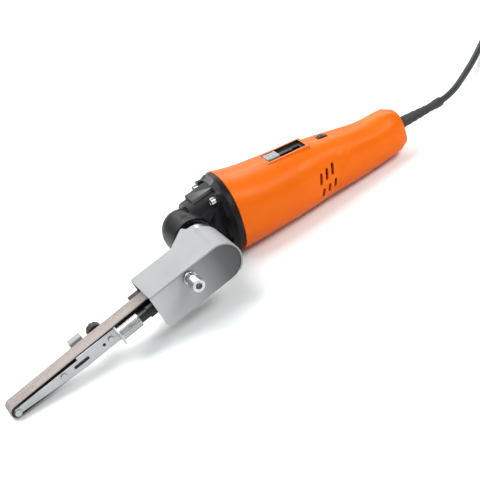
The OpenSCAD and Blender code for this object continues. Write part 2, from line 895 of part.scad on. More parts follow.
module rotor_windings() {
    color("chocolate") in_motor() for (x = [stator_x - coil_end_l, stator_x + stator_l])
        difference() {
            bar_x(winding_r, x, x + coil_end_l);
            bar_x(shaft_r + fit_gap, x - overrun, x + coil_end_l + overrun);
        }
}

module commutator() {
    color("peru") in_motor() difference() {
        bar_x(commutator_r, commutator_x, commutator_x + commutator_l);
        bar_x(shaft_r + fit_gap, commutator_x - overrun, commutator_x + commutator_l + overrun);
    }
}

module fan() {
    color("white") in_motor() difference() {
        union() {
            bar_x(fan_r, fan_x, fan_x + fan_t);
            bar_x(fan_hub_r, fan_x, fan_x + fan_blade_h);
            for (k = [0 : fan_blades - 1]) rotate([k * 360 / fan_blades, 0, 0])
                box(fan_x, fan_x + fan_blade_h, fan_hub_r - fan_t, fan_r - fan_t, 0, fan_blade_t);
        }
        bar_x(shaft_r + fit_gap, fan_x - overrun, fan_x + fan_blade_h + overrun);
    }
}

// One tooth: a section with root, pitch and tip width, drawn at both ends of the cone
function tooth_points(axial, radial, kind) = [
    for (k = [1, cone_in]) for (e = [
        [-tooth_root - tooth_sink, -tooth_root_w_shares[kind]], [0, -1],
        [tooth_top, -tooth_tip_w_shares[kind]], [tooth_top, tooth_tip_w_shares[kind]],
        [0, 1], [-tooth_root - tooth_sink, tooth_root_w_shares[kind]]])
        let(p = on_cone(axial, radial, e[0])) k * [p[0], e[1] * tooth_w / 2, p[1]]
];
module bevel_teeth(count, axial, radial, kind, first_share) {
    for (i = [0 : count - 1]) rotate([0, 0, 360 * (i + first_share) / count])
        polyhedron(
            points = tooth_points(axial, radial, kind),
            faces = concat(
                [[5, 4, 3, 2, 1, 0], [6, 7, 8, 9, 10, 11]],
                [for (j = [0 : 5]) [j, (j + 1) % 6, (j + 1) % 6 + 6, j + 6]]));
}

module pinion() {
    color("gray") in_motor() difference() {
        rotate([0, 90, 0]) union() {
            rotate_extrude() polygon([
                [0, pinion_x], [pinion_root[0] * cone_in, pinion_x], pinion_root,
                [pinion_root[0], pinion_end_x], [0, pinion_end_x]]);
            bevel_teeth(pinion_teeth, gear_r, pinion_pitch_r, 0, 0);
        }
        bar_x(pinion_bore_r + fit_gap, pinion_x - overrun, pinion_end_x + overrun);
    }
}

brush_y = commutator_r + seat_gap;

module brush_holders() {
    out = brush_w / 2 + holder_wall;
    mid = commutator_x + commutator_l / 2;
    color("goldenrod") in_motor() for (s = [0, 1]) mirror([0, s, 0]) difference() {
        box(mid - out, mid + out, brush_y + overrun, brush_y + overrun + brush_l, -out, out);
        box(mid - brush_w / 2 - fit_gap, mid + brush_w / 2 + fit_gap, brush_y, brush_y + brush_l,
            -brush_w / 2 - fit_gap, brush_w / 2 + fit_gap);
    }
}

module brushes() {
    mid = commutator_x + commutator_l / 2;
    color("black") in_motor() for (s = [0, 1]) mirror([0, s, 0])
        box(mid - brush_w / 2, mid + brush_w / 2, brush_y, brush_y + brush_l,
            -brush_w / 2, brush_w / 2);
}

// SPINDLE

module spindle() {
    color("lightgray") in_motor() {
        bar_y(spindle_r, nut_face_y - nut_l, gear_tip_y);
        bar_y(shaft_r, gear_tip_y, bush_y + bush_l);
    }
}

module bevel_gear() {
    color("gray") in_motor() difference() {
        rotate([90, 0, 0]) union() {
            rotate_extrude() polygon([
                [0, -gear_tip_y], [gear_root[0] * cone_in, -gear_tip_y], gear_root,
                [gear_root[0], -gear_back_y], [0, -gear_back_y]]);
            bevel_teeth(gear_teeth, pinion_pitch_r, gear_r, 1, 1 / 2);
        }
        bar_y(spindle_r + fit_gap, gear_back_y - overrun, gear_tip_y + overrun);
    }
}

module drive_wheel() {
    color("black") in_motor() difference() {
        bar_y(wheel_r, belt_near_y, belt_far_y);
        bar_y(spindle_r + fit_gap, belt_near_y - overrun, belt_far_y + overrun);
    }
}

module wheel_nut() {
    color("silver") in_motor() difference() {
        translate([0, nut_face_y - nut_l, 0]) rotate([-90, 0, 0])
            cylinder(r = nut_r, h = nut_l, $fn = 6);
        bar_y(spindle_r + fit_gap, nut_face_y - nut_l - overrun, nut_face_y + overrun);
    }
}

// GUARD AND ARM CARRIER

module guard_outline(r) {
    circle(r = r);
    translate([guard_corner_r - guard_len, -r]) square([guard_len - guard_corner_r, r * 2]);
    translate([-guard_len, guard_corner_r - r]) square([guard_corner_r, r * 2 - guard_corner_r]);
    translate([guard_corner_r - guard_len, guard_corner_r - r]) circle(r = guard_corner_r);
}

module guard() {
    inner = guard_r - sheet_t;
    color("lightgray") in_file() difference() {
        union() {
            plate_y(guard_plate_y, guard_plate_y + sheet_t) guard_outline(guard_r - sheet_t / 2);
            plate_y(guard_far_y, guard_far_y + sheet_t) guard_outline(guard_r - sheet_t / 2);
            translate([0, 0, inner]) linear_extrude(sheet_t) union() {
                polygon([
                    [-guard_len, guard_near_y], [0, guard_near_y], [0, guard_far_y],
                    [-guard_len, guard_far_y + sheet_t]]);
                difference() {
                    polygon([
                        [-tab_front_l, guard_far_y], [-tab_front_l + tab_slope_l, -tab_y],
                        [tab_corner_r / 2, -tab_y], [tab_corner_r / 2, guard_far_y]]);
                    translate([tab_corner_r / 2, -tab_y]) circle(r = tab_corner_r);
                }
            }
            translate([0, guard_near_y, 0]) rotate([-90, 0, 0]) rotate([0, 0, -90])
                rotate_extrude(angle = 90 + guard_wrap_deg) translate([inner, 0])
                    square([sheet_t, guard_far_y + sheet_t - guard_near_y]);
        }
        bar_y(guard_hole_r, guard_far_y - overrun, guard_far_y + sheet_t + overrun);
        translate([-guard_screw_u, 0, guard_screw_v])
            bar_y(guard_screw_r + fit_gap, guard_near_y - overrun, guard_plate_y + sheet_t + overrun);
    }
}

module guard_clamp() {
    y0 = guard_far_y + sheet_t;
    out = collar_r + clamp_ring_t;
    color("silver") in_file() difference() {
        union() {
            bar_y(out, y0, y0 + clamp_ring_l);
            box(-clamp_slot / 2 - clamp_ring_t, clamp_slot / 2 + clamp_ring_t, y0, y0 + clamp_ring_l,
                -out - clamp_lug, -collar_r);
        }
        bar_y(collar_r + run_gap, y0 - overrun, y0 + clamp_ring_l + overrun);
        box(-clamp_slot / 2, clamp_slot / 2, y0 - overrun, y0 + clamp_ring_l + overrun,
            -out - clamp_lug - overrun, 0);
        translate([0, y0 + clamp_ring_l / 2, -out - clamp_lug / 2])
            bar_x(clamp_screw_r + fit_gap, -out, out);
    }
}

module clamp_screw() {
    end = clamp_slot / 2 + clamp_ring_t;
    color("dimgray") in_file()
        translate([0, guard_far_y + sheet_t + clamp_ring_l / 2, -collar_r - clamp_ring_t - clamp_lug / 2]) {
            bar_x(clamp_screw_r, -end - clamp_screw_r, end);
            bar_x(clamp_screw_r * 2 - fit_gap, end, end + clamp_screw_r * 2);
        }
}

module arm_carrier() {
    near_y = guard_plate_y + sheet_t;
    face_y = belt_near_y - carrier_gap;
    color("black") in_file() difference() {
        union() {
            box(-carrier_u - carrier_l, -carrier_u, near_y, face_y, carrier_low, carrier_top);
            box(-bridge_u - bridge_l, -bridge_u, face_y, guard_far_y, -bridge_h, bridge_h);
            box(-bridge_u - stub_l, -bridge_u, belt_far_y + plate_gap + plate_t, guard_far_y,
                stub_low, stub_top);
        }
        translate([0, rod_y, rod_v]) bar_x(rod_r + fit_gap, -carrier_u - carrier_l - overrun, -carrier_u - overrun);
        translate([-guard_screw_u, 0, guard_screw_v])
            bar_y(guard_screw_r + fit_gap, near_y - overrun, near_y + guard_thread_l);
    }
}

module guide_rod() {
    color("black") in_file() translate([0, rod_y, rod_v]) {
        bar_x(rod_r, -rod_end_u, -carrier_u - overrun);
        bar_x(rod_collar_r, -rod_collar_end_u, -carrier_u - carrier_l);
    }
}

module guard_screw() {
    color("silver") in_file() translate([-guard_screw_u, 0, guard_screw_v]) {
        bar_y(guard_screw_r, guard_head_y, guard_plate_y + sheet_t + guard_thread_l - overrun);
        bar_y(guard_boss_r, guard_boss_y, guard_plate_y);
        difference() {
            bar_y(guard_head_r, screw_end_y, guard_head_y);
            translate([0, screw_end_y - overrun, 0]) rotate([-90, 0, 0])
                cylinder(r = socket_r, h = socket_l + overrun, $fn = 6);
        }
    }
}

// SPRUNG ARM

module arm_bar() {
    color("gray") in_file() difference() {
        box(-belt_centres + bar_end_gap + roller_r, -bar_u, plate_near_y, plate_far_y, -bar_low, bar_top);
        for (u = arm_screw_us) translate([-u, 0, 0])
            bar_y(arm_screw_r + fit_gap, plate_near_y - overrun, plate_far_y + overrun);
    }
}

module side_plate_outline() {
    difference() {
        union() {
            translate([-plate_step_u, -plate_half_h]) square([plate_step_u - plate_u, plate_half_h * 2]);
            polygon([
                [-plate_step_u, -plate_half_h], [-plate_step_u, plate_front_h],
                [-belt_centres, plate_nose_r], [-belt_centres, -plate_nose_r]]);
            translate([-belt_centres, 0]) circle(r = plate_nose_r);
        }
        translate([-belt_centres, 0]) circle(r = axle_r + fit_gap);
        translate([-arm_hole_u, 0]) circle(r = arm_hole_r);
        for (u = arm_screw_us) translate([-u, 0]) circle(r = arm_screw_r + fit_gap);
    }
}

module near_plate() {
    color("silver") in_file() {
        plate_y(plate_near_y - plate_t, plate_near_y) difference() {
            side_plate_outline();
            for (u = [slot_u, slot_u + slot_l - slot_w]) translate([-u, 0]) circle(d = slot_w);
            translate([slot_w - slot_u - slot_l, -slot_w / 2]) square([slot_l - slot_w, slot_w]);
        }
        box(-plate_u - plate_t, -plate_u, plate_near_y - plate_flange_l, plate_near_y - plate_t,
            -plate_half_h + plate_t, plate_half_h + plate_t);
    }
}

module far_plate() {
    color("silver") in_file() difference() {
        plate_y(plate_far_y, plate_far_y + plate_t) side_plate_outline();
        translate([-knob_u, 0, knob_v])
            bar_y(knob_stud_r + run_gap, plate_far_y - overrun, plate_far_y + plate_t + overrun);
    }
}

module platen() {
    color("lightgray") in_file()
        box(-belt_centres + bar_end_gap + roller_r, -platen_u, belt_near_y, belt_far_y,
            bar_top, bar_top + platen_t);
}

module spring_tube() {
    color("silver") in_file() translate([0, rod_y, rod_v]) difference() {
        bar_x(tube_r, -tube_u - tube_l, -tube_u);
        bar_x(rod_r + run_gap, -tube_u - tube_l + tube_wall, -tube_u + overrun);
        for (k = [0 : flute_count - 1]) rotate([k * 360 / flute_count, 0, 0])
            translate([0, tube_r, 0]) bar_x(flute_r, -tube_u - tube_l + tube_wall, -tube_u - tube_wall);
    }
}

spring_l = tube_u + tube_l - tube_wall - rod_end_u;
spring_mid_r = rod_r - spring_wire_r - seat_gap;
spring_route = [for (i = [0 : spring_turns * spring_rings]) let(a = 360 * i / spring_rings) [
    -rod_end_u - spring_wire_r - seat_gap
        - (spring_l - 2 * (spring_wire_r + seat_gap)) * i / (spring_turns * spring_rings),
    spring_mid_r * cos(a),
    spring_mid_r * sin(a)
]];
function spring_hoop(i) = let(
    d = heading(spring_route, i),
    side = unit(cross(d, [1, 0, 0])),
    up = cross(side, d)) [
    for (k = [0 : 5]) spring_route[i] + spring_wire_r * (side * cos(60 * k) + up * sin(60 * k))
];

module tension_spring() {
    color("gray") in_file() translate([0, rod_y, rod_v])
        loft([for (i = [0 : len(spring_route) - 1]) spring_hoop(i)]);
}

module tracking_bracket() {
    y0 = plate_far_y + plate_t;
    color("silver") in_file() {
        box(-lug_u - lug_l, -lug_u, y0, y0 + plate_t, lug_low, lug_top);
        box(-lug_u - lug_l, -lug_u - lug_l + plate_t, y0 + plate_t, y0 + lug_out, lug_low, lug_top);
        box(-lug_u - lug_l + plate_t, -lug_u, y0 + plate_t, y0 + lug_out, lug_top - plate_t, lug_top);
    }
}

module tracking_knob() {
    y0 = plate_far_y + plate_t + knob_gap;
    color("black") in_file() translate([-knob_u, 0, knob_v]) {
        bar_y(knob_stud_r, plate_far_y + seat_gap, y0 + overrun);
        difference() {
            bar_y(knob_r, y0, y0 + knob_l);
            for (k = [0 : knob_grips - 1]) rotate([0, k * 360 / knob_grips, 0])
                translate([knob_r + overrun / 2, 0, 0]) bar_y(overrun, y0 - overrun, y0 + knob_l + overrun);
        }
    }
}

module roller_axle() {
    n0 = plate_near_y - plate_t;
    f0 = plate_far_y + plate_t;
    color("gray") in_file() translate([-belt_centres, 0, 0]) {
        bar_y(axle_r, n0, f0);
        bar_y(axle_head_r, n0 - axle_head_l, n0);
        bar_y(axle_head_r, f0, f0 + axle_head_l);
    }
}

module arm_screws() {
    n0 = plate_near_y - plate_t;
    f0 = plate_far_y + plate_t;
    color("dimgray") in_file() for (u = arm_screw_us) translate([-u, 0, 0]) {
        bar_y(arm_screw_r, n0, f0);
        bar_y(arm_screw_head_r, n0 - arm_screw_head_l, n0);
    }
}

module belt_loop(r_wheel, r_roller) {
    hull() {
        circle(r = r_wheel, $fn = 40);
        translate([-belt_centres, 0]) circle(r = r_roller, $fn = 40);
    }
}

module belt() {
    color("saddlebrown") in_file() plate_y(belt_near_y, belt_far_y) difference() {
        belt_loop(wheel_belt_r + belt_t, roller_belt_r + belt_t);
        belt_loop(wheel_belt_r, roller_belt_r);
    }
}

module tip_roller() {
    color("black") in_file() translate([-belt_centres, 0, 0]) difference() {
        bar_y(roller_r, belt_near_y + seat_gap, belt_far_y - seat_gap);
        bar_y(axle_r + run_gap, belt_near_y - overrun, belt_far_y + overrun);
    }
}

// CORD

cord_at = exit_point - [mid_x, mid_y, 0];
coil_gap = cord_d + coil_pitch;
coil_outer_r = coil_inner_r + coil_gap * coil_turns;
coil_low_z = cord_d / 2 + coil_lift;
coil_centre = [
    cord_at[0] + coil_entry[0] - coil_outer_r * cos(coil_start_deg),
    cord_at[1] + coil_entry[1] - coil_outer_r * sin(coil_start_deg),
    coil_low_z
];
coil_climb_share = 0.5;
coil_turn_back = coil_climb_share / 2;
coil_span = coil_turns + coil_climb_share;
coil_all = coil_layers * coil_span - coil_climb_share;

// Turns run clockwise; each layer spirals in or out, then climbs in the half turn that follows
function coil_r(t) = let(
    layer = floor(t / coil_span),
    part = t - layer * coil_span,
    run = part - 2 * max(part - coil_turns - coil_turn_back, 0))
    layer % 2 == 0 ? coil_outer_r - coil_gap * run : coil_inner_r + coil_gap * run;
function coil_z(t) = let(
    layer = floor(t / coil_span),
    climb = max(t - layer * coil_span - coil_turns, 0) / coil_climb_share)
    coil_gap * (layer + climb * climb * (3 - 2 * climb));
function coil_point(t) = let(a = coil_start_deg - 360 * t)
    coil_centre + [coil_r(t) * cos(a), coil_r(t) * sin(a), coil_z(t)];

coil_route = [for (i = [0 : coil_all * coil_rings]) coil_point(i / coil_rings)];
cord_line = concat(moved(cord_route, cord_at), [coil_route[0]]);
coil_end = coil_route[len(coil_route) - 1];
tail_heading = coil_start_deg - 360 * coil_all - 90;
tail_line = concat([coil_end], [for (s = tail_shares) coil_end + [
    tail_l * s[0] * cos(tail_heading),
    tail_l * s[0] * sin(tail_heading),
    (plug_flat - coil_end[2]) * s[1]
]]);
tail_tip = tail_line[len(tail_line) - 1];
tail_dir = heading(tail_line, len(tail_line) - 1);

// Least distance between turns, measured on the coil's own points
coil_least = min([for (i = [0 : 3 : len(coil_route) - 1 - coil_rings])
    for (j = [i + coil_rings / 2 : len(coil_route) - 1]) norm(coil_route[i] - coil_route[j])]);

function line_length(r) =
    len(r) < 2 ? 0 : norm(r[1] - r[0]) + (len(r) > 2 ? line_length([for (i = [1 : len(r) - 1]) r[i]]) : 0);

module cord_sleeve() {
    n = len(sleeve_route) - 1;
    radii = [for (i = [0 : n]) i > n - 2 ? sleeve_tip_r
        : sleeve_r + (sleeve_neck_r - sleeve_r) * max(i - 2, 0) / (n - 4)];
    color("black") tube(moved(sleeve_route, cord_at), radii, cord_sides);
}

module cord() {
    color("black") tube(cord_line, same(cord_d / 2, cord_line), cord_sides);
}

module cord_coil() {
    color("black") tube(coil_route, same(cord_d / 2, coil_route), coil_sides);
}

module cord_tail() {
    color("black") tube(tail_line, same(cord_d / 2, tail_line), coil_sides);
}

module coil_tie() {
    half = cord_d / 2 + tie_gap;
    r0 = coil_inner_r - cord_d / 2 - tie_side_gap;
    r1 = coil_outer_r + cord_d / 2 + tie_side_gap;
    z1 = coil_gap * (coil_layers - 1) + half;
    color("dimgray") translate(coil_centre) rotate([0, 0, tie_deg]) difference() {
        box(r0 - tie_t, r1 + tie_t, -tie_w / 2, tie_w / 2, -half - tie_t, z1 + tie_t);
        box(r0, r1, -tie_w, tie_w, -half, z1);
    }
}

module at_plug() {
    translate(tail_tip) rotate([0, 0, atan2(tail_dir[1], tail_dir[0])]) children();
}

module plug_body() {
    end = plug_neck_l + plug_l;
    color("black") at_plug() difference() {
        union() {
            translate([plug_neck_l, 0, 0]) rotate([0, 90, 0])
                cylinder(r1 = plug_root_r, r2 = plug_r, h = plug_l / 3);
            translate([plug_neck_l + plug_l / 3, 0, 0]) rotate([0, 90, 0])
                cylinder(r = plug_r, h = plug_l * 2 / 3);
            rotate([0, 90, 0])
                cylinder(r1 = cord_d / 2 + overrun, r2 = plug_neck_r, h = plug_neck_l + overrun);
        }
        for (s = [0, 1]) mirror([0, 0, s])
            box(0, end + overrun, -plug_r * 2, plug_r * 2, plug_flat, plug_r * 2);
    }
}

module plug_pins() {
    color("silver") at_plug() for (s = [-1, 1])
        translate([plug_neck_l + plug_l, s * pin_pitch / 2, 0]) rotate([0, 90, 0])
            cylinder(r = pin_r, h = pin_l);
}

echo(file_drop = file_drop, bench_pitch = bench_pitch, spindle_h = spindle_h);
echo(mid_x = mid_x, mid_y = mid_y, exit = cord_at, coil_centre = coil_centre, tail_tip = tail_tip);
echo(coil_gap_to_itself = coil_least - cord_d,
    cord_length = line_length(cord_line) + line_length(tail_line)
        + 2 * PI * coil_all * (coil_outer_r + coil_inner_r) / 2);

housing_near();
housing_far();
housing_screws();
gear_head();
head_screws();
head_seal();
bearing_flange();
collar_screws();
front_bearing();
rear_bearing();
spindle_bearing();
spindle_bush();
stator();
field_coils();
brush_holders();
brushes();
switch_module();
speed_control();
cord_clamp();
cord_sleeve();
cord();
cord_coil();
cord_tail();
coil_tie();
plug_body();
plug_pins();
motor_shaft();
rotor_core();
rotor_windings();
commutator();
fan();
pinion();
spindle();
bevel_gear();
drive_wheel();
wheel_nut();
guard();
guard_clamp();
clamp_screw();
arm_carrier();
guide_rod();
guard_screw();
arm_bar();
near_plate();
far_plate();
platen();
spring_tube();
tension_spring();
tracking_bracket();
roller_axle();
arm_screws();
belt();
tip_roller();
tracking_knob();
switch_slider();
speed_dial();
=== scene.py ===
# %% [markdown]
# # A belt power file
# This lesson dresses the imported CAD model of a belt power file.

# %% Load the frame
import json
import math
import bpy
import bmesh
from mathutils import Matrix, Vector

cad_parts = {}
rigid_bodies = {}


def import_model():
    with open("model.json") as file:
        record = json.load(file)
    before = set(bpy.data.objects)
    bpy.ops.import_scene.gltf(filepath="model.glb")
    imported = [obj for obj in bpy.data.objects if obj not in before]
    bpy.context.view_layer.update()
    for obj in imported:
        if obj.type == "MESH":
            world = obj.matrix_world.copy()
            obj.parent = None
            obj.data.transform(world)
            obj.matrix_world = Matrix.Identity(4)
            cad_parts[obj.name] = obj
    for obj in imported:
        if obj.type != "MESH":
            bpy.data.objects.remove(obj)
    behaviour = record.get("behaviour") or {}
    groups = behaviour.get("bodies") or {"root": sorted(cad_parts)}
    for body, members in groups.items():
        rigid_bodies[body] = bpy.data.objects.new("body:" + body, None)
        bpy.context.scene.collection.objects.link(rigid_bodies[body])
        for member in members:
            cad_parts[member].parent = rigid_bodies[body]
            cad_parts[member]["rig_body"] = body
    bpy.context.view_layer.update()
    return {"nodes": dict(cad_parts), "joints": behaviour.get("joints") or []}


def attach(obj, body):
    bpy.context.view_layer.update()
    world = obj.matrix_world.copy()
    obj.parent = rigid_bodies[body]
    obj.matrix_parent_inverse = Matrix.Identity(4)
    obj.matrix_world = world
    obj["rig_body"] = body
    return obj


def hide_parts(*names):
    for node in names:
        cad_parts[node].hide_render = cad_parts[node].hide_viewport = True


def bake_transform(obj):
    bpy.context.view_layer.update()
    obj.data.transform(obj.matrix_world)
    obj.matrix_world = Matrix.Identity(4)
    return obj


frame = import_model()
nodes = frame["nodes"]
joints = {j["name"]: j for j in frame["joints"]}
print("solids:", len(nodes), "joints:", len(joints))

# %% [markdown]
# ## Working frames
# The motor and the sprung arm are both turned against the bench, so a piece is easiest to model
# in the frame of what carries it. Both frames start where the spindle crosses the motor's axis.
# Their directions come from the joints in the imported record, so they always agree with the CAD.
# Lengths inside the two frames are in millimetres, and the matrix brings them to metres.

# %% Motor frame and file frame
MM = 0.001
spindle_at = Vector(joints["spindle_spin"]["pos_m"])


def frame_along(axis):
    along = Vector(axis).normalized()
    across = Vector((0, 1, 0))
    up = along.cross(across)
    turn = Matrix((along, across, up)).transposed().to_4x4()
    return Matrix.Translation(spindle_at) @ turn @ Matrix.Scale(MM, 4)


in_motor = frame_along(joints["rotor_spin"]["axis"])
in_file = frame_along(joints["arm_slide"]["axis"])
print("motor axis", joints["rotor_spin"]["axis"], "arm axis", joints["arm_slide"]["axis"])

# %% [markdown]
# ## Camera
# The picture is taken from in front and above with a long lens, and the camera is rolled, so that
# the tool runs along the diagonal. A plain azimuth, elevation and roll are easier to tune than
# Euler angles, and the three axes of the camera follow from them.

# %% Camera
azimuth, elevation, roll = map(math.radians, (-16.002, 30.344, -22.108))
focal_px, image_px, sensor_mm = 1499.2, 480, 36
camera_at = Vector((-0.33904, -1.18946, 0.74855))
back = Vector((
    math.sin(azimuth) * math.cos(elevation),
    -math.cos(azimuth) * math.cos(elevation),
    math.sin(elevation),
))
level_right = Vector((0, 0, 1)).cross(back).normalized()
level_up = back.cross(level_right)
right = math.cos(roll) * level_right + math.sin(roll) * level_up
up = math.cos(roll) * level_up - math.sin(roll) * level_right
camera_data = bpy.data.cameras.new("photo_camera")
camera_data.sensor_width = sensor_mm
camera_data.lens = focal_px * sensor_mm / image_px
camera_data.clip_end = 50
camera = bpy.data.objects.new("photo_camera", camera_data)
camera.matrix_world = Matrix((right, up, back)).transposed().to_4x4()
camera.location = camera_at
bpy.context.scene.collection.objects.link(camera)
bpy.context.scene.camera = camera
print("lens", round(camera_data.lens, 1), "mm")

# %% [markdown]
# ## Finishes: shared steps
# Every finish starts from the Principled shader and reads Object coordinates, which are the same
# metres as the model's, so a grain has its true size on every piece. Small helpers add a noise,
# spread it over a range, tint it, press it into the surface as a bump with softly rounded edges,
# and find worn edges. Each finish below combines them in its own way.

# %% Helpers for finishes
finishes = {}


def new_finish(name, colour, rough, metal=0.0):
    mat = bpy.data.materials.new(name)
    mat.use_nodes = True
    tree = mat.node_tree
    tree.nodes.clear()
    out = tree.nodes.new("ShaderNodeOutputMaterial")
    shader = tree.nodes.new("ShaderNodeBsdfPrincipled")
    place = tree.nodes.new("ShaderNodeTexCoord")
    tree.links.new(shader.outputs[0], out.inputs[0])
    shader.inputs["Base Color"].default_value = (*colour, 1)
    shader.inputs["Roughness"].default_value = rough
    shader.inputs["Metallic"].default_value = metal
    mat.diffuse_color = (*colour, 1)
    finishes[name] = mat
    return tree, shader, place.outputs["Object"]


def noise(tree, where, scale, detail=3.0, stretch=None, turn=(0, 0, 0)):
    if stretch:
        mapping = tree.nodes.new("ShaderNodeMapping")
        mapping.inputs["Scale"].default_value = stretch
        mapping.inputs["Rotation"].default_value = turn
        tree.links.new(where, mapping.inputs["Vector"])
        where = mapping.outputs[0]
    node = tree.nodes.new("ShaderNodeTexNoise")
    node.inputs["Scale"].default_value = scale
    node.inputs["Detail"].default_value = detail
    tree.links.new(where, node.inputs["Vector"])
    return node.outputs["Fac"]


def spread(tree, fac, low, high, start=0.3, end=0.7):
    node = tree.nodes.new("ShaderNodeMapRange")
    node.inputs["From Min"].default_value = start
    node.inputs["From Max"].default_value = end
    node.inputs["To Min"].default_value = low
    node.inputs["To Max"].default_value = high
    tree.links.new(fac, node.inputs["Value"])
    return node.outputs[0]


def tint(tree, fac, *colours):
    ramp = tree.nodes.new("ShaderNodeValToRGB")
    stops = ramp.color_ramp.elements
    while len(stops) < len(colours):
        stops.new(0.5)
    for stop, (at, colour) in zip(stops, colours):
        stop.position = at
        stop.color = (*colour, 1)
    tree.links.new(fac, ramp.inputs[0])
    return ramp.outputs[0]


def relief(tree, shader, height, depth, strength=1.0, edge=0.0004):
    rounding = tree.nodes.new("ShaderNodeBevel")
    rounding.samples = 6
    rounding.inputs["Radius"].default_value = edge
    bump = tree.nodes.new("ShaderNodeBump")
    bump.inputs["Distance"].default_value = depth
    bump.inputs["Strength"].default_value = strength
    tree.links.new(height, bump.inputs["Height"])
    tree.links.new(rounding.outputs[0], bump.inputs["Normal"])
    tree.links.new(bump.outputs[0], shader.inputs["Normal"])
    return rounding.outputs[0]


def worn_edge(tree, rounded, fac):
    """How far the rounded normal leans from the true one, broken up by a noise."""
    true = tree.nodes.new("ShaderNodeNewGeometry")
    dot = tree.nodes.new("ShaderNodeVectorMath")
    dot.operation = "DOT_PRODUCT"
    tree.links.new(true.outputs["Normal"], dot.inputs[0])
    tree.links.new(rounded, dot.inputs[1])
    lean = spread(tree, dot.outputs["Value"], 1.0, 0.0, start=0.75, end=0.985)
    both = tree.nodes.new("ShaderNodeMath")
    both.operation = "MULTIPLY"
    tree.links.new(lean, both.inputs[0])
    tree.links.new(spread(tree, fac, 0.0, 1.0, start=0.42, end=0.62), both.inputs[1])
    return both.outputs[0]


def blend_colour(tree, fac, first, second):
    mix = tree.nodes.new("ShaderNodeMix")
    mix.data_type = "RGBA"
    tree.links.new(fac, mix.inputs["Factor"])
    for socket, value in ((mix.inputs[6], first), (mix.inputs[7], second)):
        if isinstance(value, tuple):
            socket.default_value = (*value, 1)
        else:
            tree.links.new(value, socket)
    return mix.outputs[2]


print("finish helpers ready, finishes made:", len(finishes))


# %% [markdown]
# ## Plastics and rubber
# The shells are glass-filled nylon in orange with a fine eroded grain from the mould. A large soft
# noise varies the orange by a few per cent, and a grain of a third of a millimetre breaks up the
# gloss. The pigment colours the sheen a little too, so the orange has a tinted reflection. The
# black plastics and the rubber are the same idea with other numbers.

# %% Moulded finishes
moulded_edge = 0.0005


def moulded(name, dark, light, rough, grain=3200, depth=0.00003, gloss=0.5,
            sheen_colour=(1, 1, 1)):
    tree, shader, place = new_finish(name, light, rough)
    shader.inputs["Specular IOR Level"].default_value = gloss
    shader.inputs["Specular Tint"].default_value = (*sheen_colour, 1)
    clouds = noise(tree, place, 18, 4)
    tree.links.new(tint(tree, clouds, (0.3, dark), (0.7, light)), shader.inputs["Base Color"])
    smears = noise(tree, place, 60, 5)
    tree.links.new(spread(tree, smears, rough - 0.06, rough + 0.08), shader.inputs["Roughness"])
    relief(tree, shader, noise(tree, place, grain, 2), depth, 0.5, moulded_edge)


moulded("orange_nylon", (0.63, 0.098, 0.0010), (0.71, 0.119, 0.0014), 0.37, gloss=0.24,
        sheen_colour=(1, 0.78, 0.42))
moulded("black_nylon", (0.008, 0.008, 0.009), (0.015, 0.015, 0.016), 0.46, gloss=0.3)
moulded("grey_nylon", (0.25, 0.25, 0.26), (0.30, 0.30, 0.31), 0.45, gloss=0.3)
moulded("black_rubber", (0.010, 0.010, 0.011), (0.020, 0.020, 0.021), 0.58, 1800, 0.00004)
moulded("white_nylon", (0.62, 0.60, 0.55), (0.70, 0.68, 0.63), 0.5)
moulded("circuit_board", (0.02, 0.10, 0.05), (0.03, 0.14, 0.07), 0.45)
moulded("pressed_carbon", (0.018, 0.018, 0.020), (0.04, 0.04, 0.043), 0.7)
moulded("strap_weave", (0.013, 0.013, 0.014), (0.03, 0.03, 0.032), 0.85, 1500, 0.0002)
print("moulded finishes:", len(finishes))

# %% [markdown]
# ## Painted casting and metals
# The gear head is a die casting under satin black paint, and the paint has rubbed thin on edges.
# A second, greyer version of it is for the pad on top of the head: a painted highlight that makes
# the upward face lighter, as if lit from above.
# The guard is zinc-plated sheet: brushing runs along the arm, so its noise is stretched that way.
# Turned steel has fine rings, which a noise stretched across the axis suggests well enough.
# The guard's near side carries a painted reflection: its colour runs from pale to dark towards the
# drive end by a ramp along the arm, the same from every view; a Mapping node turns the coordinates
# into the arm's direction for it.

# %% Metal finishes
def painted_casting(name, dark, light, gloss):
    tree, shader, place = new_finish(name, light, 0.4)
    shader.inputs["Specular IOR Level"].default_value = gloss
    peel = noise(tree, place, 700, 3)
    rounded = relief(tree, shader, peel, 0.00006, 0.6, 0.0009)
    wear = worn_edge(tree, rounded, noise(tree, place, 160, 5))
    ground = tint(tree, noise(tree, place, 35, 4), (0.3, dark), (0.7, light))
    colour = blend_colour(tree, wear, ground, (0.10, 0.10, 0.11))
    tree.links.new(colour, shader.inputs["Base Color"])
    tree.links.new(spread(tree, peel, 0.34, 0.5), shader.inputs["Roughness"])


sheet_lines = {"scale": 900, "stretch": (0.05, 1, 1), "turn": (0, 0.16, 0)}
brush_depth, brush_strength = 0.00001, 0.7


def brushed(name, dark, light, rough, stretch, turn=(0, 0, 0), metal=1.0):
    tree, shader, place = new_finish(name, light, rough, metal)
    lines = noise(tree, place, sheet_lines["scale"], 3, stretch, turn)
    smears = noise(tree, place, 30, 5)
    tree.links.new(tint(tree, smears, (0.3, dark), (0.7, light)), shader.inputs["Base Color"])
    tree.links.new(spread(tree, lines, rough - 0.07, rough + 0.09), shader.inputs["Roughness"])
    relief(tree, shader, lines, brush_depth, brush_strength)


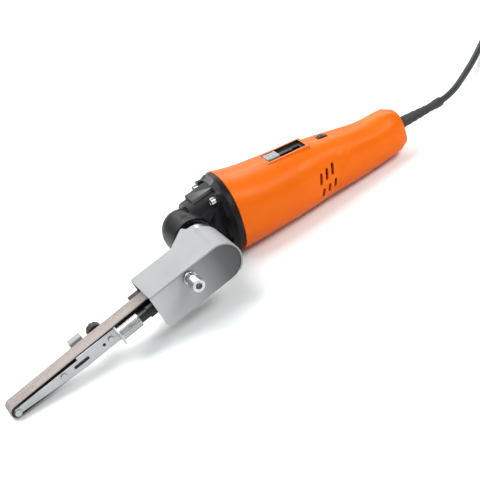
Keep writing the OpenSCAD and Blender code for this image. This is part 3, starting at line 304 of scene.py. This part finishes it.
painted_casting("painted_casting", (0.004, 0.004, 0.005), (0.007, 0.007, 0.008), 0.17)
# Lighter copy of the black paint: a painted highlight for the pad's upward face.
painted_casting("painted_highlight_casting", (0.060, 0.061, 0.064), (0.095, 0.096, 0.100), 0.4)
brushed("plated_sheet", (0.238, 0.243, 0.247), (0.277, 0.281, 0.286), 0.5,
        sheet_lines["stretch"], sheet_lines["turn"], 0.0)
brushed("bright_steel", (0.33, 0.335, 0.34), (0.43, 0.435, 0.44), 0.32, (0.12, 1, 1))
brushed("turned_steel", (0.38, 0.385, 0.39), (0.50, 0.505, 0.51), 0.26, (1, 0.1, 1))
# Black oxide for screws and rod; on the arm's bar and platen it is a painted shade.
brushed("black_oxide_and_shade", (0.030, 0.030, 0.033), (0.06, 0.06, 0.064), 0.38, (1, 0.3, 1))
brushed("steel_lamination", (0.16, 0.16, 0.17), (0.24, 0.24, 0.25), 0.5, (1, 0.2, 0.2))
brushed("varnished_copper", (0.50, 0.20, 0.08), (0.66, 0.29, 0.13), 0.35, (1, 1, 0.2))
brushed("bronze", (0.50, 0.33, 0.13), (0.60, 0.42, 0.18), 0.35, (1, 0.2, 1))


# Painted reflection: the base colour runs from pale towards the tip to dark towards the drive end.
def painted_reflection_sheet(name, pale_end=-0.072, dark_end=0.018):
    tree, shader, place = new_finish(name, (0.3, 0.3, 0.3), 0.42)
    to_arm = in_file.inverted()
    along = tree.nodes.new("ShaderNodeMapping")
    along.inputs["Location"].default_value = to_arm.translation * MM
    along.inputs["Rotation"].default_value = to_arm.to_euler()
    tree.links.new(place, along.inputs["Vector"])
    split = tree.nodes.new("ShaderNodeSeparateXYZ")
    tree.links.new(along.outputs[0], split.inputs[0])
    shade_ramp = spread(tree, split.outputs[0], 0.0, 1.0, pale_end, dark_end)
    tone = tint(
        tree, shade_ramp, (0.0, (0.40, 0.405, 0.41)), (0.42, (0.275, 0.28, 0.285)),
        (0.80, (0.066, 0.068, 0.070)), (1.0, (0.030, 0.031, 0.033)))
    tree.links.new(tone, shader.inputs["Base Color"])
    lines = noise(tree, place, sheet_lines["scale"], 3, sheet_lines["stretch"], sheet_lines["turn"])
    tree.links.new(spread(tree, lines, 0.36, 0.50), shader.inputs["Roughness"])
    relief(tree, shader, lines, brush_depth, brush_strength)


painted_reflection_sheet("painted_reflection_sheet")
print("all finishes so far:", sorted(finishes))

# %% [markdown]
# ## Abrasive belt
# Close up, a belt is a field of grains, here about 0.4 mm apart, set in brown resin.
# Voronoi cells give each grain its own shade and its own height, and a slow noise adds the paler
# lane that use leaves along the belt.

# %% Abrasive finish
grains_per_m = 2600


def abrasive(name):
    tree, shader, place = new_finish(name, (0.30, 0.21, 0.18), 0.85)
    grains = tree.nodes.new("ShaderNodeTexVoronoi")
    grains.inputs["Scale"].default_value = grains_per_m
    tree.links.new(place, grains.inputs["Vector"])
    shade = tree.nodes.new("ShaderNodeSeparateColor")
    tree.links.new(grains.outputs["Color"], shade.inputs[0])
    grit = tint(
        tree, shade.outputs[0], (0.0, (0.12, 0.095, 0.088)), (0.55, (0.27, 0.225, 0.21)),
        (1.0, (0.46, 0.42, 0.40)))
    lane = noise(tree, place, 60, 4, (0.15, 1, 1))
    colour = blend_colour(tree, spread(tree, lane, 0.0, 0.6), grit, (0.42, 0.375, 0.36))
    tree.links.new(colour, shader.inputs["Base Color"])
    relief(tree, shader, grains.outputs["Distance"], 0.00025, 0.8, 0.0002)


abrasive("abrasive_grit")
print("abrasive: about", round(1000 / grains_per_m, 2), "mm between grains")

# %% [markdown]
# ## Pieces: shared steps
# A CAD solid arrives as loose triangles with flat shading. A merged copy can be shaded smoothly and
# have its edges rounded, so each outer piece is such a copy, which stands for its solid. The inner
# pieces stay as they are and only get their finish.

# %% Helpers for pieces
skins = {}


def finish_mesh(name, bm, finish, body, smooth_deg=32):
    mesh = bpy.data.meshes.new(name)
    bm.to_mesh(mesh)
    bm.free()
    for face in mesh.polygons:
        face.use_smooth = True
    mesh.set_sharp_from_angle(angle=math.radians(smooth_deg))
    mesh.materials.append(finishes[finish])
    piece = bpy.data.objects.new(name, mesh)
    bpy.context.scene.collection.objects.link(piece)
    if body:
        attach(piece, body)
    return piece


def paint_faces(piece, finish, frame_from, inside):
    """Give a second finish to the faces whose middle, in the frame's millimetres, is inside."""
    slots = piece.data.materials
    slots.append(finishes[finish])
    to_frame = frame_from.inverted()
    painted = [f for f in piece.data.polygons if inside(to_frame @ f.center)]
    for face in painted:
        face.material_index = len(slots) - 1
    print(piece.name, finish, "faces:", len(painted))


def reshape(piece, frame_from, inside, change, cuts=()):
    """Cut the piece across X, then move the corners that are inside, in the frame's millimetres."""
    to_frame = frame_from.inverted()
    along = frame_from.col[0].xyz.normalized()
    bm = bmesh.new()
    bm.from_mesh(piece.data)
    for at_x in cuts:
        bmesh.ops.bisect_plane(
            bm, geom=bm.verts[:] + bm.edges[:] + bm.faces[:], dist=1e-7,
            plane_co=frame_from @ Vector((at_x, 0, 0)), plane_no=along)
    moved = [v for v in bm.verts if inside(to_frame @ v.co)]
    bmesh.ops.transform(bm, matrix=frame_from @ change @ to_frame, verts=moved)
    bm.to_mesh(piece.data)
    bm.free()
    print(piece.name, "corners moved:", len(moved))


merge_dist, flat_deg, bevel_deg = 0.000002, 0.3, 40


def skin(node, finish, edge_mm=0.0, smooth_deg=32, ride=True):
    """A merged copy of a solid, with rounded edges, that stands for the solid."""
    bm = bmesh.new()
    bm.from_mesh(nodes[node].data)
    bmesh.ops.remove_doubles(bm, verts=bm.verts, dist=merge_dist)
    bmesh.ops.dissolve_limit(
        bm, angle_limit=math.radians(flat_deg), verts=bm.verts, edges=bm.edges)
    body = nodes[node]["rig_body"] if ride else None
    piece = finish_mesh(node + "_skin", bm, finish, body, smooth_deg)
    if edge_mm:
        bevel = piece.modifiers.new("rounded_edges", "BEVEL")
        bevel.width = edge_mm * MM
        bevel.segments = 2
        bevel.limit_method = "ANGLE"
        bevel.angle_limit = math.radians(bevel_deg)
        bevel.harden_normals = False
    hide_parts(node)
    skins[node] = piece
    return piece


print("piece helpers ready, pieces made:", len(skins))

# %% [markdown]
# ## Mains cord
# The cord leaves the sleeve, drops to the bench and runs out of the picture, where the rest of it
# lies as a tied coil of four layers with the plug beside it. One open curve follows the whole way.
# The route repeats the CAD source: a listed lead, a coil from a formula, and a short tail.

# %% Cord route
cord_d = 7.0
cord_exit = in_motor @ Vector((247, 0, 6))
lead = [
    (57, 6, -4.9), (64, 8.6, -5.9), (71, 12.1, -7), (79, 17.1, -8.4), (88, 23.8, -10),
    (98, 32.1, -11.8), (110, 42.6, -14), (123, 54.2, -16.3), (137, 66.8, -18.4),
    (152, 80.2, -19.8), (168, 94.2, -20.3), (184, 107.4, -20.3), (200, 119.7, -20.3),
    (216, 131.4, -20.3),
]
coil_layers, coil_turns, coil_inner, coil_gap = 4, 3, 31.0, 7.6
coil_outer = coil_inner + coil_gap * coil_turns
coil_start, climb_share, coil_lift = math.radians(126), 0.5, 2
coil_span = coil_turns + climb_share
coil_all = coil_layers * coil_span - climb_share
entry = Vector((230, 141.5, 0)) * MM + cord_exit
coil_centre = Vector((
    entry.x - coil_outer * MM * math.cos(coil_start),
    entry.y - coil_outer * MM * math.sin(coil_start),
    (cord_d / 2 + coil_lift) * MM,
))


def coil_point(turn):
    layer = math.floor(turn / coil_span)
    part = turn - layer * coil_span
    run = part - 2 * max(part - coil_turns - climb_share / 2, 0)
    climb = max(part - coil_turns, 0) / climb_share
    radius = coil_outer - coil_gap * run if layer % 2 == 0 else coil_inner + coil_gap * run
    rise = coil_gap * (layer + climb * climb * (3 - 2 * climb))
    angle = coil_start - 2 * math.pi * turn
    return coil_centre + Vector((radius * math.cos(angle), radius * math.sin(angle), rise)) * MM


def smooth_through(points, parts):
    """Catmull-Rom curve through the points, with so many parts between two of them."""
    ends = [points[0] * 2 - points[1], *points, points[-1] * 2 - points[-2]]
    line = []
    for a, b, c, d in zip(ends, ends[1:], ends[2:], ends[3:]):
        for k in range(parts):
            t = k / parts
            line.append(0.5 * (
                2 * b + (c - a) * t + (2 * a - 5 * b + 4 * c - d) * t ** 2
                + (3 * b - a - 3 * c + d) * t ** 3))
    return line + [points[-1]]


steps_per_turn = 48
coil_line = [coil_point(k / steps_per_turn) for k in range(int(coil_all * steps_per_turn) + 1)]
lead_line = [cord_exit + Vector(p) * MM for p in lead]
tail_start, tail_length, plug_height = coil_line[-1], 72 * MM, 13 * MM
tail_heading = coil_start - 2 * math.pi * coil_all - math.pi / 2
tail_along = Vector((math.cos(tail_heading), math.sin(tail_heading), 0))
tail_shares = [(0.16, 0.02), (0.30, 0.09), (0.46, 0.30), (0.62, 0.59), (0.80, 0.88), (1, 1)]
tail_line = [
    tail_start + tail_along * tail_length * far
    + Vector((0, 0, (plug_height - tail_start.z) * drop))
    for far, drop in tail_shares
]
route = smooth_through(lead_line + [coil_line[0]], 3)[:-1] + coil_line
route += smooth_through([coil_line[-1]] + tail_line, 3)[1:]
print("cord points:", len(route))

# %% [markdown]
# ## The cord as a curve
# A poly curve with a round bevel is the simplest tube of one thickness: the points are the route,
# and half the cord's diameter is the bevel's depth.

# %% Cord piece
cord_data = bpy.data.curves.new("mains_cord", "CURVE")
cord_data.dimensions = "3D"
cord_data.bevel_depth = cord_d / 2 * MM
cord_data.bevel_resolution = 3
spline = cord_data.splines.new("POLY")
spline.points.add(len(route) - 1)
for point, at in zip(spline.points, route):
    point.co = (*at, 1)
spline.use_smooth = True
cord_data.materials.append(finishes["black_rubber"])
mains_cord = bpy.data.objects.new("mains_cord", cord_data)
bpy.context.scene.collection.objects.link(mains_cord)
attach(mains_cord, "tool")
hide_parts("cord", "cord_coil", "cord_tail")

# %% [markdown]
# ## Plug and strap
# The plug is a moulded two-pin one. Its CAD solid has the right shape, so a rounded copy is enough.
# The coil is held by a woven strap: a rounded band that follows the bundle's section, solidified to
# the strap's thickness.

# %% Plug and strap pieces
plug = skin("plug_body", "black_rubber", 1.2)
pins = skin("plug_pins", "turned_steel", 0.5)
strap_w, strap_t, strap_corner, strap_at_deg = 9, 1.2, 5.0, 312
strap_room, strap_slack = 1, 0.5


def strap():
    inner = coil_inner - cord_d / 2 - strap_room
    outer = coil_outer + cord_d / 2 + strap_room
    low = -cord_d / 2 - strap_slack
    high = coil_gap * (coil_layers - 1) + cord_d / 2 + strap_slack
    bm = bmesh.new()
    bmesh.ops.create_grid(bm, x_segments=1, y_segments=1, size=1)
    bmesh.ops.scale(bm, vec=((outer - inner) / 2, (high - low) / 2, 1), verts=bm.verts)
    bmesh.ops.bevel(
        bm, geom=bm.verts[:], offset=strap_corner, offset_type="OFFSET", affect="VERTICES",
        segments=6, profile=0.5, material=-1)
    rim = bm.edges[:]
    bmesh.ops.delete(bm, geom=bm.faces[:], context="FACES_ONLY")
    made = bmesh.ops.extrude_edge_only(bm, edges=rim)["geom"]
    lifted = [v for v in made if isinstance(v, bmesh.types.BMVert)]
    bmesh.ops.translate(bm, vec=(0, 0, strap_w), verts=lifted)
    middle = ((inner + outer) / 2, (low + high) / 2, -strap_w / 2)
    bmesh.ops.translate(bm, vec=middle, verts=bm.verts)
    bmesh.ops.recalc_face_normals(bm, faces=bm.faces)
    bmesh.ops.solidify(bm, geom=bm.faces[:], thickness=-strap_t)
    stand = Matrix.Rotation(math.radians(90), 4, "X")
    turn = Matrix.Rotation(math.radians(strap_at_deg), 4, "Z")
    place = Matrix.Translation(coil_centre) @ turn @ Matrix.Scale(MM, 4) @ stand
    bmesh.ops.transform(bm, matrix=place, verts=bm.verts)
    piece = finish_mesh("coil_strap", bm, "strap_weave", "tool")
    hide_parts("coil_tie")
    return piece


coil_strap = strap()
print("strap faces:", len(coil_strap.data.polygons))

# %% [markdown]
# ## Cord sleeve
# The strain relief is a tapered rubber sleeve that ends in a small collar. A circle is extruded
# from station to station along the sleeve's route: each new ring is turned and scaled into its
# place, which keeps one clean row of faces between two rings. Shallow grooves ring its middle part.

# %% Sleeve piece
sleeve_route = [
    (-17, 0, 1.8), (-8, 0, 0.8), (0, 0, 0), (10, 0.2, -0.5), (20, 0.6, -1.2), (30, 1.2, -2),
    (40, 2.2, -2.9), (49, 3.8, -3.9), (57, 6, -4.9),
]
root_r, end_r, collar_r, groove_depth = 6.6, 4.4, 4.9, 0.35
taper_shares, groove_shares, collar_share = (0.25, 0.75), (0.3, 0.82), 0.87


def sleeve_radius(k, count):
    share = k / (count - 1)
    if share > collar_share:
        return collar_r
    taper = (share - taper_shares[0]) / (taper_shares[1] - taper_shares[0])
    grooved = groove_shares[0] < share < groove_shares[1] and k % 3 == 0
    return root_r - (root_r - end_r) * min(max(taper, 0), 1) - groove_depth * grooved


def sleeve():
    line = smooth_through([cord_exit + Vector(p) * MM for p in sleeve_route], 4)
    count = len(line)
    radii = [sleeve_radius(k, count) for k in range(count)]
    bm = bmesh.new()
    ring = bmesh.ops.create_circle(bm, cap_ends=True, radius=1, segments=24)["verts"]
    edges = list({e for v in ring for e in v.link_edges})

    def stand_at(k):
        ahead = (line[min(k + 1, count - 1)] - line[max(k - 1, 0)]).normalized()
        turn = ahead.to_track_quat("Z", "Y").to_matrix().to_4x4()
        return Matrix.Translation(line[k]) @ turn @ Matrix.Scale(radii[k] * MM, 4)

    bmesh.ops.transform(bm, matrix=stand_at(0), verts=ring)
    for k in range(1, count):
        made = bmesh.ops.extrude_edge_only(bm, edges=edges)["geom"]
        ring = [g for g in made if isinstance(g, bmesh.types.BMVert)]
        edges = [g for g in made if isinstance(g, bmesh.types.BMEdge)
                 and all(v in ring for v in g.verts)]
        bmesh.ops.transform(bm, matrix=stand_at(k) @ stand_at(k - 1).inverted(), verts=ring)
    bmesh.ops.edgeloop_fill(bm, edges=edges)
    bmesh.ops.recalc_face_normals(bm, faces=bm.faces)
    piece = finish_mesh("cord_sleeve_skin", bm, "black_rubber", "tool", 50)
    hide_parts("cord_sleeve")
    return piece


print("sleeve faces:", len(sleeve().data.polygons))

# %% [markdown]
# ## Motor housing
# The two shells meet on the middle plane, and their rims keep a fine parting line. The merged
# copies are shaded smoothly only up to 24 degrees, so the lofted skin reads as one surface while
# the vents, the switch well and the parting line stay sharp. Inside the well the real tool is dark,
# so the faces there get the black finish.

# %% Housing pieces
well_x, well_half, well_depth, well_top = (100, 142), 9.5, 9, 33.12
reach, well_lip = 0.1, 0.3


def in_switch_well(at):
    return (well_x[0] - reach < at.x < well_x[1] + reach and abs(at.y) < well_half + reach
            and well_top - well_depth < at.z < well_top - well_lip)


for node in ("housing_near", "housing_far"):
    shell = skin(node, "orange_nylon", 0.35, 24)
    paint_faces(shell, "black_nylon", in_motor, in_switch_well)
skin("housing_screws", "black_oxide_and_shade", 0.2)

# %% [markdown]
# ## Gear head
# The casting, its flange screws and the collar behind the guard are copies of their solids. Many
# small faces meet on the casting, so its edges are rounded by its finish and not by a bevel. The
# raised pad on top gets a lighter copy of the paint, a painted highlight on its upward face.

# %% Gear head pieces
pad_x, pad_y, pad_half, pad_low = (14, 41), 1, 8.5, 28.0


def on_head_pad(at):
    return pad_x[0] < at.x < pad_x[1] and abs(at.y - pad_y) < pad_half and at.z > pad_low


head = skin("gear_head", "painted_casting", 0, 30)
# The pad's faces get the lighter paint, a painted highlight.
paint_faces(head, "painted_highlight_casting", in_motor, on_head_pad)
skin("bearing_flange", "black_oxide_and_shade", 0.3)
skin("head_screws", "turned_steel", 0.35)
skin("collar_screws", "black_oxide_and_shade", 0.2)
skin("head_seal", "black_rubber", 0)

# %% [markdown]
# ## Belt guard
# Folded sheet has a small outside radius on every edge, which a bevel of half a millimetre gives.
# Only the near side gets the painted reflection, pale to dark along the arm: its faces are found by
# their distance from the motor.

# %% Guard pieces
guard_near_face, face_play = -89.2, 0.05
guard = skin("guard", "plated_sheet", 0.5)
# The near face gets the painted reflection, pale to dark towards the drive end.
paint_faces(
    guard, "painted_reflection_sheet", in_file, lambda at: abs(at.y - guard_near_face) < face_play)
skin("guard_clamp", "bright_steel", 0.3)
skin("clamp_screw", "black_oxide_and_shade", 0.3)
skin("guard_screw", "turned_steel", 0.5)
skin("arm_carrier", "black_nylon", 0.6)
skin("guide_rod", "black_oxide_and_shade", 0.4)

# %% [markdown]
# ## Sprung arm
# The machined pieces have a light chamfer that catches the light. The near plate ends in a slim
# rounded nose, with the black roller showing around it: the nose's corners are scaled towards its
# top point. The bar and the platen under the belt reach close to the roller, so that no light
# falls through the loop. Both are black, a painted shade that keeps the slot and the gap under the
# belt dark.

# %% Arm pieces
roller_x, nose_r, nose_slim, nose_from, nose_play = -228, 4.4, 0.72, -200, 0.2
nose_top = Matrix.Translation((roller_x, 0, nose_r))
slimmer = nose_top @ Matrix.Diagonal((nose_slim, 1, nose_slim, 1)) @ nose_top.inverted()


def on_nose(at):
    return at.x < nose_from and math.hypot(at.x - roller_x, at.z) > nose_r - nose_play


skin("spring_tube", "turned_steel", 0.2)
reshape(skin("near_plate", "bright_steel", 0.25), in_file, on_nose, slimmer)
skin("far_plate", "bright_steel", 0.25)
bar_front = -214.5
# The bar and the platen are black, a painted shade that darkens the slot and the gap under the
# belt.
for node, edge, nearer in (("arm_bar", 0.3, 7), ("platen", 0.15, 8.6)):
    reshape(skin(node, "black_oxide_and_shade", edge), in_file, lambda at: at.x < bar_front + reach,
            Matrix.Translation((-nearer, 0, 0)))
skin("tracking_bracket", "plated_sheet", 0.3)
skin("tracking_knob", "black_nylon", 0.35)
skin("roller_axle", "bright_steel", 0.3)
skin("arm_screws", "bright_steel", 0.3)
skin("tip_roller", "black_rubber", 0.3)
skin("drive_wheel", "black_rubber", 0.3)
skin("wheel_nut", "turned_steel", 0.4)

# %% [markdown]
# ## Switch and dial
# The slider has ribs across it for the thumb. The copy is cut by a row of planes, and the new
# corners on every second plane are pressed down, which makes the grooves between the ribs. The
# tongue behind it, which covers the well, is black.

# %% Switch pieces
slider_front, slider_back, slider_low = 100.3, 114, 34
rib_step, rib_depth, rib_play, tongue_gap = 1.5, 0.6, 0.05, 0.2
rib_lines = [slider_front + rib_step * k for k in range(2, 9)]
grooves = rib_lines[1:-1:2]


def in_groove(at):
    return at.z > slider_low and any(abs(at.x - x) < rib_play for x in grooves)


slider = skin("switch_slider", "grey_nylon", 0.25)
reshape(slider, in_motor, in_groove, Matrix.Translation((0, 0, -rib_depth)), rib_lines)
paint_faces(slider, "black_nylon", in_motor, lambda at: at.x > slider_back + tongue_gap)
skin("speed_dial", "black_nylon", 0.3)

# %% [markdown]
# ## Belt and spring across the sliding arm
# The belt runs over the drive wheel, which stays with the guard, and over the tip roller, which
# slides back with the arm. The real belt goes slack, and the spring in the tube shortens. Here both
# are copies that ride with no body, with their placement baked into the mesh.

# %% Belt and spring pieces
belt = skin("belt", "abrasive_grit", 0, 32, ride=False)
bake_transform(belt)
spring = skin("tension_spring", "turned_steel", 0, 60, ride=False)
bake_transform(spring)
print("copies of solids:", len(skins))

# %% [markdown]
# ## Inner pieces
# Motor, gears and switch are inside the closed housing, and little of them shows through the vents.
# Their solids stay, each with the finish of its material.

# %% Inner finishes
inner = {
    "steel_lamination": ("stator", "rotor_core", "pinion", "bevel_gear"),
    "varnished_copper": ("field_coils", "rotor_windings", "commutator"),
    "bronze": ("spindle_bush", "brush_holders"),
    "pressed_carbon": ("brushes",),
    "black_nylon": ("switch_module", "cord_clamp"),
    "white_nylon": ("fan",),
    "circuit_board": ("speed_control",),
    "turned_steel": ("motor_shaft", "spindle", "front_bearing", "rear_bearing", "spindle_bearing"),
}
for finish, members in inner.items():
    for node in members:
        slots = nodes[node].data.materials
        slots.clear()
        slots.append(finishes[finish])
print("inner pieces:", sum(map(len, inner.values())))

# %% [markdown]
# ## Floor
# The tool lies on a plain pale floor, one large square made by the grid operator. It lies a fifth
# of a millimetre under the bench plane, so that it never flickers against what rests there.

# %% Floor
floor_size, floor_low = 6, -0.0002
floor_bm = bmesh.new()
bmesh.ops.create_grid(floor_bm, x_segments=1, y_segments=1, size=floor_size)
bmesh.ops.translate(floor_bm, vec=(0, 0, floor_low), verts=floor_bm.verts)
floor_mesh = bpy.data.meshes.new("floor")
floor_bm.to_mesh(floor_mesh)
floor_bm.free()
floor_shader = new_finish("pale_floor", (0.90, 0.93, 0.935), 0.7)[1]
floor_shader.inputs["Specular IOR Level"].default_value = 0.1
floor_mesh.materials.append(finishes["pale_floor"])
floor = bpy.data.objects.new("floor", floor_mesh)
bpy.context.scene.collection.objects.link(floor)
print("floor:", 2 * floor_size, "m square")

# %% [markdown]
# ## Light
# A large soft light above and behind lights the floor and the upper faces, and a weak one in front
# fills the near side. A strip in front draws the long highlight along the housing, a low strip
# behind draws the bright upper edge, and an even pale world fills the shadows.

# %% Lights
world_strength = 0.36
world = bpy.data.worlds.new("studio")
world.use_nodes = True
background = world.node_tree.nodes["Background"]
background.inputs[0].default_value = (1, 1, 1, 1)
background.inputs[1].default_value = world_strength
bpy.context.scene.world = world
bpy.context.scene.view_settings.view_transform = "Standard"


def soft_light(name, at, aim, size, watts, length=None):
    data = bpy.data.lights.new(name, "AREA")
    data.shape = "RECTANGLE" if length else "DISK"
    data.size = length or size
    data.size_y = size
    data.energy = watts
    light = bpy.data.objects.new(name, data)
    light.location = at
    light.rotation_euler = (Vector(aim) - Vector(at)).to_track_quat("-Z", "Y").to_euler()
    bpy.context.scene.collection.objects.link(light)
    print(name, watts, "W")


soft_light("overhead", (-0.5, 0.7, 1.4), (-0.05, 0, 0.05), 1.6, 34)
soft_light("front_fill", (-0.7, -1.3, 0.6), (0.05, 0, 0.05), 0.9, 3.5)
soft_light("front_key", (0.80, -0.75, 1.05), (0.08, 0, 0.05), 0.35, 14, 1.1)
soft_light("back_rim", (0.55, 1.0, 0.7), (0.08, 0, 0.05), 0.45, 9, 1.4)
